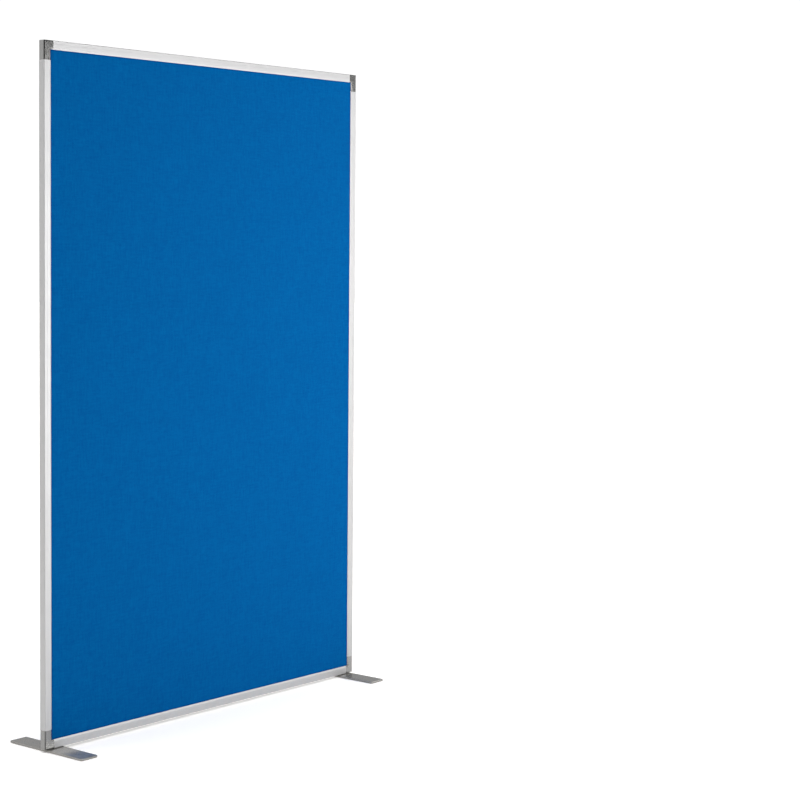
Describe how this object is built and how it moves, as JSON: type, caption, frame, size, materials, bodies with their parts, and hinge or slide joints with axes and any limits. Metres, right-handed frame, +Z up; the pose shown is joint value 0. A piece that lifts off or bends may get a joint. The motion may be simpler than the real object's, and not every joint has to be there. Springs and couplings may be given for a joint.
{
  "type": "free-standing partition wall",
  "caption": "Felt-covered pin board wall in an aluminium frame with moulded corner caps, standing on flat foot plates that swivel under its ends.",
  "frame": {"origin": "on the floor, under the middle of the wall and midway between its two faces", "axes": "+X along the wall, +Y from the front face to the back, +Z up"},
  "size_m": [1.2, 0.28, 1.807],
  "materials": {
    "frame_aluminium": "satin",
    "corner_plastic": "satin",
    "bracket_casting": "matte",
    "felt": "matte",
    "soft_board": "matte",
    "hard_board": "matte",
    "foot_steel": "satin",
    "bolt_steel": "satin",
    "washer_nylon": "satin",
    "glide_rubber": "matte"
  },
  "bodies": {
    "wall": {"stile_left": "frame_aluminium", "stile_right": "frame_aluminium", "rail_top": "frame_aluminium", "rail_bottom": "frame_aluminium", "corner_cap_bottom_left": "corner_plastic", "corner_cap_bottom_right": "corner_plastic", "corner_cap_top_left": "corner_plastic", "corner_cap_top_right": "corner_plastic", "corner_bracket_bottom_left": "bracket_casting", "corner_bracket_bottom_right": "bracket_casting", "corner_bracket_top_left": "bracket_casting", "corner_bracket_top_right": "bracket_casting", "felt_front": "felt", "felt_back": "felt", "pin_board_front": "soft_board", "pin_board_back": "soft_board", "core_board": "hard_board", "foot_bolt_left": "bolt_steel", "foot_bolt_right": "bolt_steel"},
    "foot_left": {"foot_plate_left": "foot_steel", "friction_washer_left": "washer_nylon", "glide_pads_left": "glide_rubber"},
    "foot_right": {"foot_plate_right": "foot_steel", "friction_washer_right": "washer_nylon", "glide_pads_right": "glide_rubber"}
  },
  "joints": [
    {"name": "foot_left_swivel", "type": "hinge", "parent": "wall", "child": "foot_left", "pos_m": [-0.5645, 0, 0.004], "axis": [0, 0, 1], "range_deg": [-90, 90]},
    {"name": "foot_right_swivel", "type": "hinge", "parent": "wall", "child": "foot_right", "pos_m": [0.5645, 0, 0.004], "axis": [0, 0, 1], "range_deg": [-90, 90]}
  ]
}
